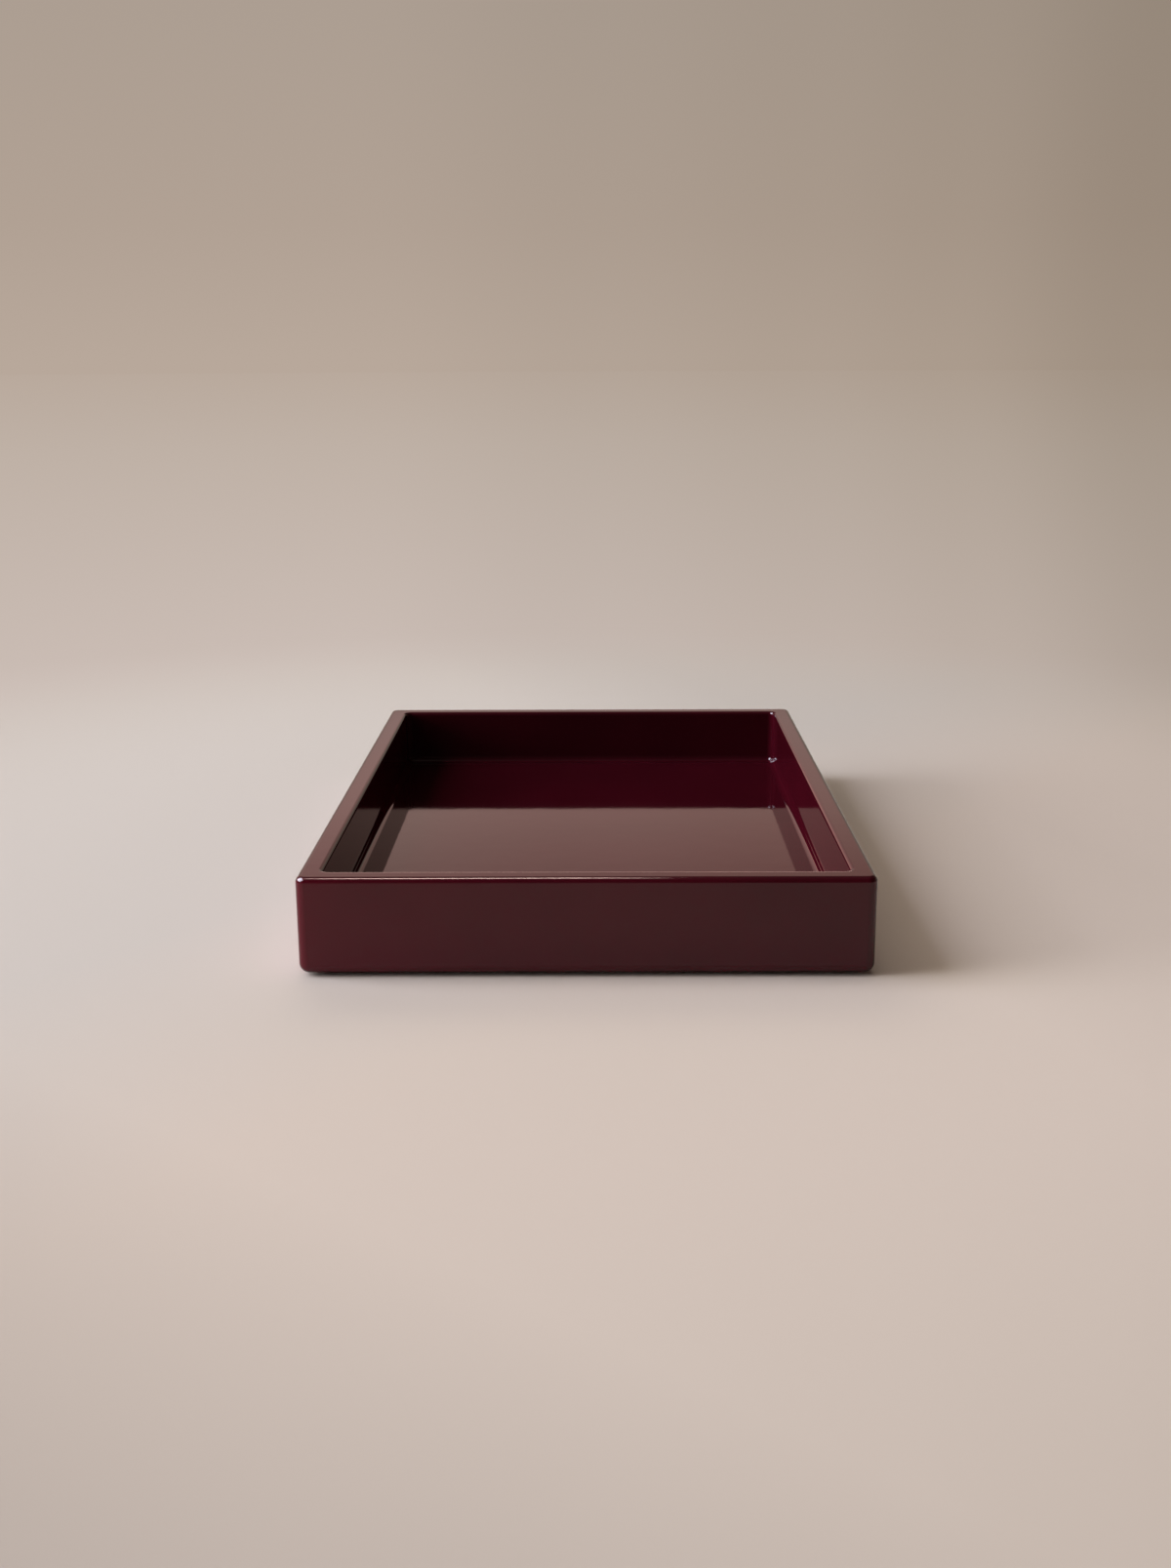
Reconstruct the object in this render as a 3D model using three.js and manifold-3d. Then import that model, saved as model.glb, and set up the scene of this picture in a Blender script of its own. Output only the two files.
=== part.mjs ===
// A lacquered tray as it comes apart on the bench: four mitred rails with a coved foot, a floor
// panel tongued into them, a loose tenon hidden in each mitre and four felt pads underneath.
// The lacquer hides every joint, so the pieces meet face to face wherever a joint reaches the surface.
import * as THREE from "three";
import { mergeVertices } from "three/addons/utils/BufferGeometryUtils.js";
import Module from "manifold-3d";

const wasm = await Module();
wasm.setup();

// Overall size in millimetres: X across, Y from front to back, Z up from the table
const TRAY_WIDTH = 250;
const TRAY_LENGTH = 350;
const RAIL_HEIGHT = 44;

// Rail section: an upright wall on a heel that carries the outer strip of the floor
const WALL_THICKNESS = 10.5;
const FLOOR_THICKNESS = 12.5;
const HEEL_LAND = 4;

// Rounded edges of the rails, and how they turn the corners of the tray
const RIM_OUTER_RADIUS = 2.6;
const RIM_INNER_RADIUS = 2;
const FOOT_RADIUS = 4.5;
const COVE_RADIUS = 3.5;
const OUTER_CORNER_RADIUS = 3.2;
const INNER_CORNER_RADIUS = 3.5;

// Tongue all round the floor panel, and the room left for glue in every hidden joint
const TONGUE_THICKNESS = 4;
const TONGUE_LENGTH = 6;
const JOINT_CLEARANCE = 0.3;

// Loose tenon that crosses each mitre, out of sight between the foot and the rim
const TENON_THICKNESS = 3;
const TENON_WIDTH = 8;
const TENON_SETBACK = 6.2;
const TENON_FOOT_COVER = 7;
const TENON_RIM_COVER = 7;

// Felt pads stuck under the floor panel
const PAD_DIAMETER = 12;
const PAD_THICKNESS = 1;
const PAD_EDGE_RADIUS = 0.3;
const PAD_SETBACK = 4;

// Facets in a quarter turn of the section's roundings, in a rail's half of a corner, in a full disc
// and in half the round edge of a pad
const SECTION_STEPS = 8;
const CORNER_STEPS = 6;
const DISC_STEPS = 32;
const PAD_EDGE_STEPS = 1;

const RIGHT_ANGLE = Math.PI / 2;
const MITRE_ANGLE = RIGHT_ANGLE / 2;
const HEEL_INSET = WALL_THICKNESS + COVE_RADIUS + HEEL_LAND;

const lacquer = { color: 0x4a0c1b, roughness: 0.07, metalness: 0 };
const beech = { color: 0xc79f6b, roughness: 0.65, metalness: 0 };
const felt = { color: 0x1d181a, roughness: 1, metalness: 0 };

// The tray's corners, in the order of a walk round it with the inside on the left
const corners = [
  { name: "front_left", x: -1, y: -1 },
  { name: "front_right", x: 1, y: -1 },
  { name: "back_right", x: 1, y: 1 },
  { name: "back_left", x: -1, y: 1 },
];

// A closed mesh as a solid, with its shared vertices merged and the slivers of merged edges dropped.
function solidOf(geometry) {
  const bare = new THREE.BufferGeometry();
  bare.setAttribute("position", geometry.getAttribute("position"));
  bare.setIndex(geometry.index);
  const merged = mergeVertices(bare);
  const corner = merged.index.array;
  const kept = [];
  for (let i = 0; i < corner.length; i += 3) {
    const [a, b, c] = corner.slice(i, i + 3);
    if (a !== b && b !== c && c !== a) kept.push(a, b, c);
  }
  const vertProperties = merged.attributes.position.array;
  return new wasm.Manifold(new wasm.Mesh({ numProp: 3, vertProperties, triVerts: new Uint32Array(kept) }));
}

// A solid's faces as a mesh with flat shading.
function geometryOf(solid) {
  const { vertProperties, triVerts } = solid.getMesh();
  const shared = new THREE.BufferGeometry();
  shared.setAttribute("position", new THREE.BufferAttribute(vertProperties, 3));
  shared.setIndex(new THREE.BufferAttribute(triVerts, 1));
  const geometry = shared.toNonIndexed();
  geometry.computeVertexNormals();
  return geometry;
}

function meshOf(name, geometry, finish) {
  const mesh = new THREE.Mesh(geometry, new THREE.MeshStandardMaterial(finish));
  mesh.name = name;
  return mesh;
}

// A quarter round of the rail's section from one angle to another. Inset is the distance in from
// the tray's outer face, and turnRadius gives the radius at which each inset turns the tray's corner.
function quarterRound(inset, height, radius, from, to, turnRadius) {
  const points = [];
  for (let step = 0; step <= SECTION_STEPS; step += 1) {
    const angle = THREE.MathUtils.lerp(from, to, step / SECTION_STEPS);
    const x = inset + radius * Math.cos(angle);
    points.push({ inset: x, height: height + radius * Math.sin(angle), turn: Math.max(turnRadius(x), 0) });
  }
  return points;
}

// The rail's section: up the outer face, over the rim, down the inner face, round the cove, along
// the heel and round the groove for the panel's tongue. Concentric turns keep the rim's roundings
// even round the corners; the foot's turn fades out towards the flat underside.
function railSection() {
  const footTurn = (inset) => OUTER_CORNER_RADIUS * (1 - inset / FOOT_RADIUS);
  const outerTurn = (inset) => OUTER_CORNER_RADIUS - inset;
  const innerTurn = (inset) => INNER_CORNER_RADIUS + WALL_THICKNESS - inset;
  const outerRim = RAIL_HEIGHT - RIM_OUTER_RADIUS;
  const innerRim = RAIL_HEIGHT - RIM_INNER_RADIUS;
  const innerRimInset = WALL_THICKNESS - RIM_INNER_RADIUS;
  const coveInset = WALL_THICKNESS + COVE_RADIUS;
  const coveHeight = FLOOR_THICKNESS + COVE_RADIUS;
  const grooveInset = HEEL_INSET - TONGUE_LENGTH - JOINT_CLEARANCE;
  const grooveBottom = (FLOOR_THICKNESS - TONGUE_THICKNESS) / 2 - JOINT_CLEARANCE;
  const grooveTop = (FLOOR_THICKNESS + TONGUE_THICKNESS) / 2 + JOINT_CLEARANCE;
  return [
    ...quarterRound(FOOT_RADIUS, FOOT_RADIUS, FOOT_RADIUS, 3 * RIGHT_ANGLE, 2 * RIGHT_ANGLE, footTurn),
    ...quarterRound(RIM_OUTER_RADIUS, outerRim, RIM_OUTER_RADIUS, 2 * RIGHT_ANGLE, RIGHT_ANGLE, outerTurn),
    ...quarterRound(innerRimInset, innerRim, RIM_INNER_RADIUS, RIGHT_ANGLE, 0, innerTurn),
    ...quarterRound(coveInset, coveHeight, COVE_RADIUS, 2 * RIGHT_ANGLE, 3 * RIGHT_ANGLE, innerTurn),
    { inset: HEEL_INSET, height: FLOOR_THICKNESS, turn: 0 },
    { inset: HEEL_INSET, height: grooveTop, turn: 0 },
    { inset: grooveInset, height: grooveTop, turn: 0 },
    { inset: grooveInset, height: grooveBottom, turn: 0 },
    { inset: HEEL_INSET, height: grooveBottom, turn: 0 },
    { inset: HEEL_INSET, height: 0, turn: 0 },
  ];
}

// Where a point of the section lies as it goes round a corner: at angle 0 it is on the left or right
// rail, at 90 degrees on the front or back rail, and at 45 degrees on the mitre between them.
function cornerPoint(corner, point, angle) {
  const centreInset = point.inset + point.turn;
  const x = TRAY_WIDTH / 2 - centreInset + point.turn * Math.cos(angle);
  const y = TRAY_LENGTH / 2 - centreInset + point.turn * Math.sin(angle);
  return new THREE.Vector3(corner.x * x, corner.y * y, point.height);
}

// The face of a rail's mitre, as triangles that run the same way round as the section's points.
function mitreTriangles(section) {
  const spread = 1 - Math.cos(MITRE_ANGLE);
  const outline = section.map((p) => new THREE.Vector2(p.inset + p.turn * spread, p.height));
  return THREE.ShapeUtils.triangulateShape(outline, []).map((triangle) => {
    const anticlockwise = THREE.ShapeUtils.area(triangle.map((index) => outline[index])) > 0;
    return anticlockwise ? [...triangle].reverse() : triangle;
  });
}

// One rail: its section carried from the mitre at one corner to the mitre at the next.
function railSolid(start, end, sideAngle) {
  const section = railSection();
  const rows = [];
  for (let step = 0; step <= CORNER_STEPS; step += 1) {
    const angle = THREE.MathUtils.lerp(MITRE_ANGLE, sideAngle, step / CORNER_STEPS);
    rows.push(section.map((point) => cornerPoint(start, point, angle)));
  }
  for (let step = 0; step <= CORNER_STEPS; step += 1) {
    const angle = THREE.MathUtils.lerp(sideAngle, MITRE_ANGLE, step / CORNER_STEPS);
    rows.push(section.map((point) => cornerPoint(end, point, angle)));
  }
  const count = section.length;
  const triangles = [];
  for (let row = 0; row + 1 < rows.length; row += 1) {
    for (let i = 0; i < count; i += 1) {
      const near = row * count + i;
      const nearNext = row * count + ((i + 1) % count);
      triangles.push(near, near + count, nearNext + count);
      triangles.push(near, nearNext + count, nearNext);
    }
  }
  const lastRow = (rows.length - 1) * count;
  for (const [a, b, c] of mitreTriangles(section)) {
    triangles.push(a, b, c);
    triangles.push(lastRow + c, lastRow + b, lastRow + a);
  }
  const geometry = new THREE.BufferGeometry().setFromPoints(rows.flat());
  geometry.setIndex(triangles);
  return solidOf(geometry);
}

// An upright tenon with round edges, or its mortise when it is grown by the clearance.
function tenonGeometry(growth) {
  const radius = TENON_THICKNESS / 2 + growth;
  const halfSpan = (TENON_WIDTH - TENON_THICKNESS) / 2;
  const outline = new THREE.Shape();
  outline.absarc(halfSpan, 0, radius, -RIGHT_ANGLE, RIGHT_ANGLE);
  outline.absarc(-halfSpan, 0, radius, RIGHT_ANGLE, 3 * RIGHT_ANGLE);
  const depth = RAIL_HEIGHT - TENON_FOOT_COVER - TENON_RIM_COVER + 2 * growth;
  const settings = { depth, bevelEnabled: false, curveSegments: SECTION_STEPS };
  return new THREE.ExtrudeGeometry(outline, settings).translate(0, 0, -growth);
}

// Stands a tenon in a corner, square across the mitre.
function standInMitre(mesh, corner) {
  const x = corner.x * (TRAY_WIDTH / 2 - TENON_SETBACK);
  const y = corner.y * (TRAY_LENGTH / 2 - TENON_SETBACK);
  mesh.position.set(x, y, TENON_FOOT_COVER);
  mesh.rotation.z = -corner.x * corner.y * MITRE_ANGLE;
  mesh.updateMatrix();
}

function mortiseSolid(corner) {
  const mortise = new THREE.Mesh(tenonGeometry(JOINT_CLEARANCE));
  standInMitre(mortise, corner);
  return solidOf(mortise.geometry.applyMatrix4(mortise.matrix));
}

// The floor panel: a board that butts against the heels, with a tongue all round at half its height.
function panelGeometry() {
  const width = TRAY_WIDTH - 2 * HEEL_INSET;
  const length = TRAY_LENGTH - 2 * HEEL_INSET;
  const reach = 2 * TONGUE_LENGTH;
  const board = new THREE.BoxGeometry(width, length, FLOOR_THICKNESS);
  const tongue = new THREE.BoxGeometry(width + reach, length + reach, TONGUE_THICKNESS);
  const solid = solidOf(board).add(solidOf(tongue));
  return geometryOf(solid).translate(0, 0, FLOOR_THICKNESS / 2);
}

// A felt disc whose lower edge is worn round.
function padGeometry() {
  const radius = PAD_DIAMETER / 2;
  const outline = new THREE.Path();
  outline.moveTo(0, 0);
  outline.lineTo(radius - PAD_EDGE_RADIUS, 0);
  outline.absarc(radius - PAD_EDGE_RADIUS, PAD_EDGE_RADIUS, PAD_EDGE_RADIUS, -RIGHT_ANGLE, 0);
  outline.lineTo(radius, PAD_THICKNESS);
  outline.lineTo(0, PAD_THICKNESS);
  const geometry = new THREE.LatheGeometry(outline.getPoints(PAD_EDGE_STEPS), DISC_STEPS);
  return geometry.rotateX(RIGHT_ANGLE);
}

// The carcass is built from its own underside up and stands on the pads.
const carcass = new THREE.Group();
carcass.position.z = PAD_THICKNESS;

const rails = [
  { name: "front_rail", start: 0, sideAngle: RIGHT_ANGLE },
  { name: "right_rail", start: 1, sideAngle: 0 },
  { name: "back_rail", start: 2, sideAngle: RIGHT_ANGLE },
  { name: "left_rail", start: 3, sideAngle: 0 },
];
for (const { name, start, sideAngle } of rails) {
  const first = corners[start];
  const last = corners[(start + 1) % corners.length];
  const rail = railSolid(first, last, sideAngle).subtract(mortiseSolid(first)).subtract(mortiseSolid(last));
  carcass.add(meshOf(name, geometryOf(rail), lacquer));
}
carcass.add(meshOf("floor_panel", panelGeometry(), lacquer));

const stand = new THREE.Group();
for (const corner of corners) {
  const tenon = meshOf(`${corner.name}_tenon`, tenonGeometry(0), beech);
  standInMitre(tenon, corner);
  carcass.add(tenon);
  const pad = meshOf(`${corner.name}_pad`, padGeometry(), felt);
  const padInset = HEEL_INSET + PAD_SETBACK + PAD_DIAMETER / 2;
  pad.position.set(corner.x * (TRAY_WIDTH / 2 - padInset), corner.y * (TRAY_LENGTH / 2 - padInset), 0);
  stand.add(pad);
}

const tray = new THREE.Group();
tray.add(carcass, stand);

export default tray;
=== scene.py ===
"""A burgundy lacquered tray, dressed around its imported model.

The tray is four coved rails mitred round a tongued floor panel, under one polished coat of lacquer
that hides every joint. The rails and the panel are rebuilt here with fine roundings, the felt pads
get their nap, and the beech tenons inside the mitres get their grain.
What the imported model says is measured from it; sizes that it can't give are named below.
"""

import logging
import math
from dataclasses import dataclass, field
from enum import Enum
from typing import Any, Iterable

import bpy
from mathutils import Matrix, Vector


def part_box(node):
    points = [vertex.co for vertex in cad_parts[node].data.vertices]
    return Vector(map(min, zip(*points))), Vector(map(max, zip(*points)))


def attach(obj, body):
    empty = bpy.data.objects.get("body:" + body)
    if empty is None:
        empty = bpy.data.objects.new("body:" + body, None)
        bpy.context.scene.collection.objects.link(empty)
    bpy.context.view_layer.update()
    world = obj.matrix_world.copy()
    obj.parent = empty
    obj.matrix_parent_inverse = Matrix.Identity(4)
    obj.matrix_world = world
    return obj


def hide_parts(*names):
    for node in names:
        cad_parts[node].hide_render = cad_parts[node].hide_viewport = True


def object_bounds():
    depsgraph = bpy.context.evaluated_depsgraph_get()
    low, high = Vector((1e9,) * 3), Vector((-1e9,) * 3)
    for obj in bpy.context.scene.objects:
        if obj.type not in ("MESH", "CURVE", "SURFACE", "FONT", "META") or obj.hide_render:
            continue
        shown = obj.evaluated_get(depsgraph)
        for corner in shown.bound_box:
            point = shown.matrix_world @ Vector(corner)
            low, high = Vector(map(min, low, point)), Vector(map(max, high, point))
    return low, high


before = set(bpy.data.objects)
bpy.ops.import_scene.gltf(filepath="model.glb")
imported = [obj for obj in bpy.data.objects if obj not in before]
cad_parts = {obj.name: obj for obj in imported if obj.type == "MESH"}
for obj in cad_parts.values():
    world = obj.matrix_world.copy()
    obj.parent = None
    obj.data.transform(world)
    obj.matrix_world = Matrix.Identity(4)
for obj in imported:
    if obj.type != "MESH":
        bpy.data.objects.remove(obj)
CAD_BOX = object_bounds()

LOG = logging.getLogger("tray")
BODY = "root"
SECTION_VALUES = ("inset", "height", "turn", "run", "rise", "spread", "polished")
RIGHT_ANGLE = math.pi / 2
MITRE_ANGLE = RIGHT_ANGLE / 2
# A face is rounded where all its points are polished, so its mean must be as good as 1
POLISHED_FACE = 0.99

MULTIPLY_COLOURS = {"data_type": "RGBA", "blend_type": "MULTIPLY"}

Node = bpy.types.Node
Socket = bpy.types.NodeSocket
Tree = bpy.types.NodeTree
Material = bpy.types.Material
Mesh = bpy.types.Mesh
Piece = bpy.types.Object
Colour = tuple[float, float, float, float]
Pair = tuple[float, float]
Triple = tuple[float, float, float]
Stops = Iterable[tuple[float, str | Triple]]
Inputs = dict[str | int, Any]
Rule = Iterable[tuple[str | float, ...]]


def mm(length: float) -> float:
    """Turns millimetres into metres."""
    return length / 1000


def linear(code: str) -> Colour:
    """Turns an sRGB hex colour into the linear colour that a shader takes.

    Args:
        code: Six hex digits, two for each of red, green and blue.

    Returns:
        The linear red, green and blue, with an alpha of 1.
    """
    channels = []
    for start in (0, 2, 4):
        value = int(code[start : start + 2], 16) / 255
        channels.append(value / 12.92 if value <= 0.04045 else ((value + 0.055) / 1.055) ** 2.4)
    return (*channels, 1.0)


def add_node(tree: Tree, kind: str, inputs: Inputs | None = None, **settings: Any) -> Node:
    """Adds a node to a tree, sets it and links it.

    Args:
        tree: The tree that the node goes into.
        kind: The node's type name.
        inputs: Values, nodes or output sockets for the node's inputs, by socket name or number. A
            node gives the first of its outputs that is in use.
        settings: Properties of the node.

    Returns:
        The new node.
    """
    node = tree.nodes.new(kind)
    for name, value in settings.items():
        setattr(node, name, value)
    for key, value in (inputs or {}).items():
        if isinstance(value, Node):
            value = next(socket for socket in value.outputs if socket.enabled)
        if isinstance(value, Socket):
            tree.links.new(value, node.inputs[key])
        else:
            node.inputs[key].default_value = value
    return node


def set_ramp(node: Node, stops: Stops, interpolation: str = "LINEAR") -> None:
    """Gives a colour ramp its stops.

    Args:
        node: The ramp's node.
        stops: Positions from 0 to 1 in rising order, with hex colours or linear ones.
        interpolation: The ramp's interpolation.
    """
    ramp = node.color_ramp
    ramp.interpolation = interpolation
    for number, (position, colour) in enumerate(stops):
        element = ramp.elements[number] if number < len(ramp.elements) else ramp.elements.new(position)
        element.position = position
        element.color = linear(colour) if isinstance(colour, str) else (*colour, 1.0)


def add_rule(tree: Tree, rule: Rule, values: dict[str, Any]) -> None:
    """Adds the nodes that work a rule out, one for each of its lines.

    Args:
        tree: The tree that the nodes go into.
        rule: Lines that name a value, the operation that gives it, and its terms.
        values: The values that the rule starts from, by name. Its own are added to them.
    """
    for name, operation, *terms in rule:
        inputs = {number: values.get(term, term) for number, term in enumerate(terms)}
        values[name] = add_node(tree, "ShaderNodeMath", inputs, operation=operation)


def new_material(name: str) -> tuple[Material, Tree, Socket]:
    """Makes a material that has only its Object coordinates yet.

    Args:
        name: The material's name.

    Returns:
        The material, its tree and the place in metres.
    """
    material = bpy.data.materials.new(name)
    material.use_nodes = True
    tree = material.node_tree
    tree.nodes.clear()
    return material, tree, add_node(tree, "ShaderNodeTexCoord").outputs["Object"]


def new_tree(name: str, inputs: dict[str, str], output: str) -> tuple[Tree, Any]:
    """Starts a Geometry Nodes tree.

    Args:
        name: The tree's name.
        inputs: The kind of each input, by its name. The first is the piece's own mesh.
        output: The name of the finished geometry.

    Returns:
        The tree, and the sockets that its inputs arrive at.
    """
    tree = bpy.data.node_groups.new(name, "GeometryNodeTree")
    for title, kind in inputs.items():
        tree.interface.new_socket(title, in_out="INPUT", socket_type=f"NodeSocket{kind}")
    tree.interface.new_socket(output, in_out="OUTPUT", socket_type="NodeSocketGeometry")
    return tree, add_node(tree, "NodeGroupInput").outputs


def grow(piece: Piece, tree: Tree, given: dict[str, Any]) -> None:
    """Runs a tree on a piece and keeps the result as its plain mesh.

    Args:
        piece: The piece.
        tree: The tree.
        given: Values for the tree's named inputs.
    """
    modifier = piece.modifiers.new(tree.name, "NODES")
    modifier.node_group = tree
    for name, value in given.items():
        modifier[tree.interface.items_tree[name].identifier] = value
    evaluated = piece.evaluated_get(bpy.context.evaluated_depsgraph_get())
    mesh = bpy.data.meshes.new_from_object(evaluated)
    piece.modifiers.clear()
    piece.data = mesh
    mesh.name = piece.name


def link_object(name: str, mesh: Mesh) -> Piece:
    """Puts a mesh into the scene as an object at the origin.

    Args:
        name: The object's name.
        mesh: Its mesh.

    Returns:
        The object.
    """
    piece = bpy.data.objects.new(name, mesh)
    bpy.context.scene.collection.objects.link(piece)
    return piece


def seat(piece: Piece, node: str) -> None:
    """Lets a finished piece stand for its CAD node.

    Args:
        piece: The finished piece.
        node: The CAD node that it replaces.
    """
    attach(piece, BODY)
    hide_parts(node)
    triangles = sum(len(face.vertices) - 2 for face in piece.data.polygons)
    LOG.info("%s stands for %s: %d triangles", piece.name, node, triangles)


class Side(Enum):
    """The tray's four sides, each with its quarter turn from the front."""

    FRONT = 0
    RIGHT = 1
    BACK = 2
    LEFT = 3

    @property
    def node(self) -> str:
        """The CAD node of the rail on this side."""
        return f"{self.name.lower()}_rail"

    @property
    def angle(self) -> float:
        """The rail's turn about the tray's middle, from the front."""
        return self.value * RIGHT_ANGLE


class Corner(Enum):
    """The tray's four corners, each with its signs along X and Y."""

    FRONT_LEFT = (-1, -1)
    FRONT_RIGHT = (1, -1)
    BACK_RIGHT = (1, 1)
    BACK_LEFT = (-1, 1)

    @property
    def pad_node(self) -> str:
        """The CAD node of the pad under this corner."""
        return f"{self.name.lower()}_pad"

    @property
    def tenon_node(self) -> str:
        """The CAD node of the tenon in this corner's mitre."""
        return f"{self.name.lower()}_tenon"


@dataclass(frozen=True)
class PolishedLacquer:
    """Polyurethane lacquer: sprayed on sealed board, flatted and buffed to a mirror.

    The eye gets an opaque wine red that turns to a mirror at a low angle, and straight reflections
    with the faint ripple that a sprayed film keeps after buffing.
    """

    colour: str = "460a18"
    deep_colour: str = "410916"
    ior: float = 1.37
    roughness: float = 0.035
    haze_roughness: float = 0.055
    ripple_length: float = mm(9)
    ripple_depth: float = mm(0.015)
    ripple_gain: float = 0.3
    peel_length: float = mm(2.2)
    peel_depth: float = mm(0.0012)
    haze_length: float = mm(60)
    haze_detail: float = 2.0
    colour_span: Pair = (0.35, 0.65)
    gloss_span: Pair = (0.3, 0.7)

    def material(self) -> Material:
        """Builds the lacquer's material.

        Returns:
            The material.
        """
        material, tree, place = new_material("polished_burgundy_lacquer")
        clouds = add_node(tree, "ShaderNodeTexNoise", {
            "Vector": place, "Scale": 1 / self.haze_length, "Detail": self.haze_detail,
        })
        colour = add_node(tree, "ShaderNodeValToRGB", {"Fac": clouds})
        set_ramp(colour, zip(self.colour_span, (self.deep_colour, self.colour)))
        buffing = add_node(tree, "ShaderNodeMapRange", {
            "Value": clouds, "From Min": self.gloss_span[0], "From Max": self.gloss_span[1],
            "To Min": self.roughness, "To Max": self.haze_roughness,
        })
        ripple = add_node(tree, "ShaderNodeTexNoise", {
            "Vector": place, "Scale": 1 / self.ripple_length, "Detail": 1.0,
            "Roughness": self.ripple_gain,
        })
        rippled = add_node(tree, "ShaderNodeBump", {"Height": ripple, "Distance": self.ripple_depth})
        peel = add_node(tree, "ShaderNodeTexNoise", {
            "Vector": place, "Scale": 1 / self.peel_length, "Detail": 0.0,
        })
        peeled = add_node(tree, "ShaderNodeBump", {
            "Height": peel, "Distance": self.peel_depth, "Normal": rippled,
        })
        shader = add_node(tree, "ShaderNodeBsdfPrincipled", {
            "Base Color": colour, "Roughness": buffing, "IOR": self.ior, "Normal": peeled,
        })
        add_node(tree, "ShaderNodeOutputMaterial", {"Surface": shader})
        return material


@dataclass(frozen=True)
class WoolFelt:
    """Wool felt: fibres matted under heat and pressure, then dyed and punched into discs.

    The eye gets a soft dark nap with no direction and no gloss, and paler fibres at the edge.
    """

    colour: str = "1d181a"
    worn_colour: str = "2f282a"
    roughness: float = 0.95
    sheen: float = 0.35
    tuft_length: float = mm(0.9)
    fibre_length: float = mm(0.12)
    nap_depth: float = mm(0.12)
    nap_strength: float = 0.6
    tuft_detail: float = 4.0
    tuft_gain: float = 0.6
    wear_span: Pair = (0.35, 0.75)

    def material(self) -> Material:
        """Builds the felt's material.

        Returns:
            The material.
        """
        material, tree, place = new_material("dyed_wool_felt")
        tufts = add_node(tree, "ShaderNodeTexNoise", {
            "Vector": place, "Scale": 1 / self.tuft_length, "Detail": self.tuft_detail,
            "Roughness": self.tuft_gain,
        })
        fibres = add_node(tree, "ShaderNodeTexVoronoi", {
            "Vector": place, "Scale": 1 / self.fibre_length,
        }, feature="F1")
        colour = add_node(tree, "ShaderNodeValToRGB", {"Fac": tufts})
        set_ramp(colour, zip(self.wear_span, (self.colour, self.worn_colour)))
        nap = add_node(tree, "ShaderNodeMath", {0: tufts, 1: fibres}, operation="ADD")
        bump = add_node(tree, "ShaderNodeBump", {
            "Height": nap, "Strength": self.nap_strength, "Distance": self.nap_depth,
        })
        shader = add_node(tree, "ShaderNodeBsdfPrincipled", {
            "Base Color": colour, "Roughness": self.roughness, "Sheen Weight": self.sheen,
            "Normal": bump,
        })
        add_node(tree, "ShaderNodeOutputMaterial", {"Surface": shader})
        return material


@dataclass(frozen=True)
class PlanedBeech:
    """Steamed beech: planed to a slip and left bare for the glue.

    The eye gets a pale pinkish brown with fine straight rings and the short dark flecks of its rays.
    """

    colour: str = "c79f6b"
    ring_colour: str = "b78a58"
    fleck_colour: str = "8d6238"
    roughness: float = 0.65
    ring_spacing: float = mm(1.6)
    fleck_length: float = mm(2.0)
    fleck_width: float = mm(0.18)
    ring_waver: float = 1.5
    ring_span: Pair = (0.2, 0.8)
    fleck_span: Pair = (0.64, 0.74)

    def material(self) -> Material:
        """Builds the beech's material.

        Returns:
            The material.
        """
        material, tree, place = new_material("planed_beech")
        stretched = add_node(tree, "ShaderNodeMapping", {
            "Vector": place, "Scale": (1.0, 1.0, self.fleck_width / self.fleck_length),
        })
        rings = add_node(tree, "ShaderNodeTexWave", {
            "Vector": stretched, "Scale": 1 / self.ring_spacing / math.tau,
            "Distortion": self.ring_waver,
        }, wave_type="BANDS", bands_direction="X").outputs["Fac"]
        flecks = add_node(tree, "ShaderNodeTexNoise", {
            "Vector": stretched, "Scale": 1 / self.fleck_width, "Detail": 1.0,
        })
        ringed = add_node(tree, "ShaderNodeValToRGB", {"Fac": rings})
        set_ramp(ringed, zip(self.ring_span, (self.colour, self.ring_colour)))
        fleck_share = add_node(tree, "ShaderNodeValToRGB", {"Fac": flecks})
        set_ramp(fleck_share, zip(self.fleck_span, ("000000", "ffffff")))
        colour = add_node(tree, "ShaderNodeMix", {
            0: fleck_share, 6: ringed, 7: linear(self.fleck_colour),
        }, data_type="RGBA")
        shader = add_node(tree, "ShaderNodeBsdfPrincipled", {
            "Base Color": colour, "Roughness": self.roughness,
        })
        add_node(tree, "ShaderNodeOutputMaterial", {"Surface": shader})
        return material


@dataclass(frozen=True)
class SectionPoint:
    """A point of the rail's section, and how it is carried round the tray's corners.

    Attributes:
        inset: The distance in from the tray's outer face.
        height: The height above the table.
        turn: The radius at which this point turns a corner.
        run: The outline's direction here, inwards.
        rise: The outline's direction here, upwards.
        spread: How fast the turn changes with the inset.
        polished: 1 where the outline runs on smoothly, and 0 at a hidden square edge.
    """

    inset: float
    height: float
    turn: float = 0.0
    run: float = 0.0
    rise: float = 0.0
    spread: float = 0.0
    polished: float = 0.0


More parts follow.
